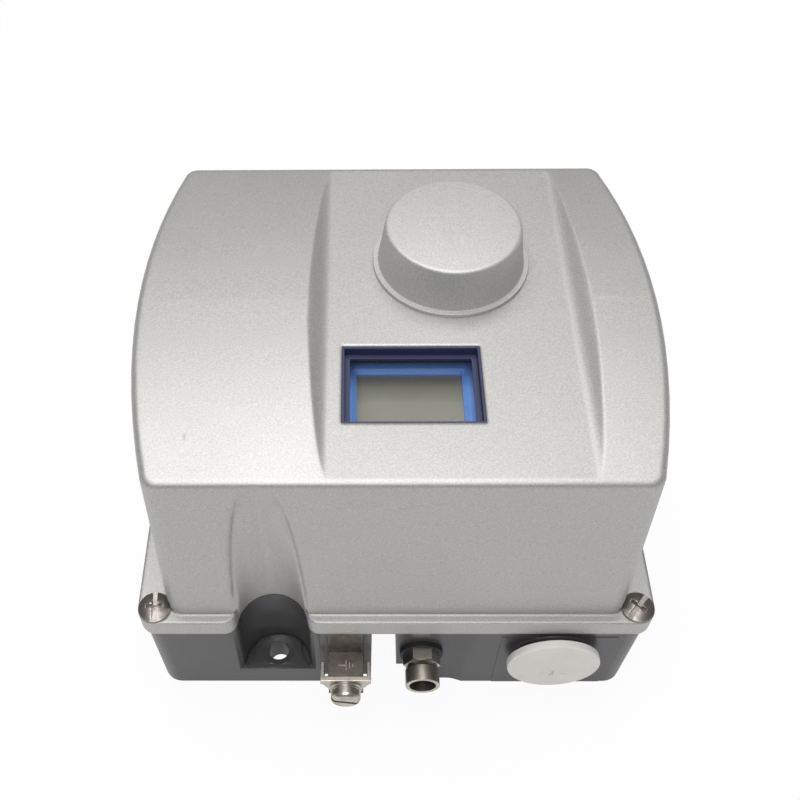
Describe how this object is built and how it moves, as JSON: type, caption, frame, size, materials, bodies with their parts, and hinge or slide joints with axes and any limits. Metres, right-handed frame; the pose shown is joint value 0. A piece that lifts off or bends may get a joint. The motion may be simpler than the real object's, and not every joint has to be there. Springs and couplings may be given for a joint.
{
  "type": "valve positioner",
  "caption": "Electro-pneumatic valve positioner: silver arched cover with display window and round cap on a black base with lugs, earth terminal, exhaust fitting and plugged conduit entry.",
  "frame": {"origin": "centre of the mounting face of the base", "axes": "+X to the right and +Z out through the cover as the display is read; the conduit, earth and exhaust side faces -Y"},
  "size_m": [0.153, 0.1468, 0.1245],
  "materials": {
    "housing_black": "moulded, semi-gloss",
    "cover_silver": "satin, fine speckle",
    "nickel": "nickel plate",
    "steel": "machined",
    "brass": "machined",
    "aluminium": "machined",
    "rubber": "matte",
    "plug_white": "moulded",
    "lens_clear": "polished",
    "bezel_blue": "moulded",
    "lcd": "display",
    "board_green": "solder mask",
    "terminal_green": "moulded",
    "key_grey": "moulded",
    "sensor_blue": "moulded",
    "pointer_orange": "moulded",
    "coil_copper": "enamelled winding",
    "clamp_black": "moulded"
  },
  "bodies": {
    "base": {"base_housing": "housing_black", "lug_feet": "housing_black", "cover_gasket": "rubber", "earth_block": "nickel", "earth_saddle": "nickel", "earth_washers": "nickel", "earth_screw": "nickel", "vent_fitting": "nickel", "vent_seal": "rubber", "conduit_plug": "plug_white", "conduit_seal": "rubber", "lower_bush": "brass", "upper_bush": "brass", "shaft_seal": "rubber", "position_sensor": "sensor_blue", "chassis_plate": "steel", "chassis_screws": "steel", "board_posts": "brass", "main_board": "board_green", "terminal_block": "terminal_green", "terminal_screws": "nickel", "display_posts": "brass", "display_board": "board_green", "display_bezel": "bezel_blue", "lcd_panel": "lcd", "manifold_block": "aluminium", "manifold_screws": "steel", "valve_body": "aluminium", "valve_screws": "steel", "spool_spring": "steel", "spring_cap": "aluminium", "pilot_cap": "aluminium", "diaphragm": "rubber", "pressure_sensors": "steel", "coil_unit": "coil_copper", "pilot_nozzle": "brass", "flapper_bracket": "steel", "flapper_pin": "steel"},
    "cover_group": {"cover": "cover_silver", "cover_screws": "steel", "indicator_cap": "cover_silver", "cap_o_ring": "rubber", "cap_clip": "steel", "window_gasket": "rubber", "window_lens": "lens_clear", "window_clamp": "clamp_black", "window_screws": "steel"},
    "shaft": {"feedback_shaft": "steel", "shaft_clip": "steel", "drive_gear": "brass", "travel_pointer": "pointer_orange"},
    "sensor_shaft": {"sensor_spindle": "steel", "sensor_gear": "brass"},
    "spool": {"spool": "steel"},
    "flapper": {"flapper": "steel"},
    "key_increase": {"key_increase": "key_grey"},
    "key_decrease": {"key_decrease": "key_grey"},
    "key_confirm": {"key_confirm": "key_grey"},
    "key_cancel": {"key_cancel": "key_grey"}
  },
  "joints": [
    {"name": "cover_lift", "type": "slide", "parent": "base", "child": "cover_group", "axis": [0, 0, 1], "range_m": [0, 0.1]},
    {"name": "shaft_turn", "type": "hinge", "parent": "base", "child": "shaft", "pos_m": [0.0163, 0.018, 0], "axis": [0, 0, 1], "continuous": true},
    {"name": "sensor_turn", "type": "hinge", "parent": "base", "child": "sensor_shaft", "pos_m": [0.0418, 0.018, 0], "axis": [0, 0, 1], "continuous": true},
    {"name": "spool_slide", "type": "slide", "parent": "base", "child": "spool", "axis": [0, 1, 0], "range_m": [-0.002, 0.002], "stiffness_N_per_m": 400, "deforming": ["spool_spring", "diaphragm"]},
    {"name": "flapper_tilt", "type": "hinge", "parent": "base", "child": "flapper", "pos_m": [-0.0511, 0.002, 0.066], "axis": [1, 0, 0], "range_deg": [-1.2, 1.5], "stiffness_Nm_per_rad": 0.2},
    {"name": "key_increase_press", "type": "slide", "parent": "base", "child": "key_increase", "axis": [0, 0, -1], "range_m": [0, 0.0008], "stiffness_N_per_m": 2500, "springref_m": -0.0002},
    {"name": "key_decrease_press", "type": "slide", "parent": "base", "child": "key_decrease", "axis": [0, 0, -1], "range_m": [0, 0.0008], "stiffness_N_per_m": 2500, "springref_m": -0.0002},
    {"name": "key_confirm_press", "type": "slide", "parent": "base", "child": "key_confirm", "axis": [0, 0, -1], "range_m": [0, 0.0008], "stiffness_N_per_m": 2500, "springref_m": -0.0002},
    {"name": "key_cancel_press", "type": "slide", "parent": "base", "child": "key_cancel", "axis": [0, 0, -1], "range_m": [0, 0.0008], "stiffness_N_per_m": 2500, "springref_m": -0.0002}
  ],
  "couplings": [
    {"joint": "sensor_turn", "follows": "shaft_turn", "ratio": -2}
  ]
}
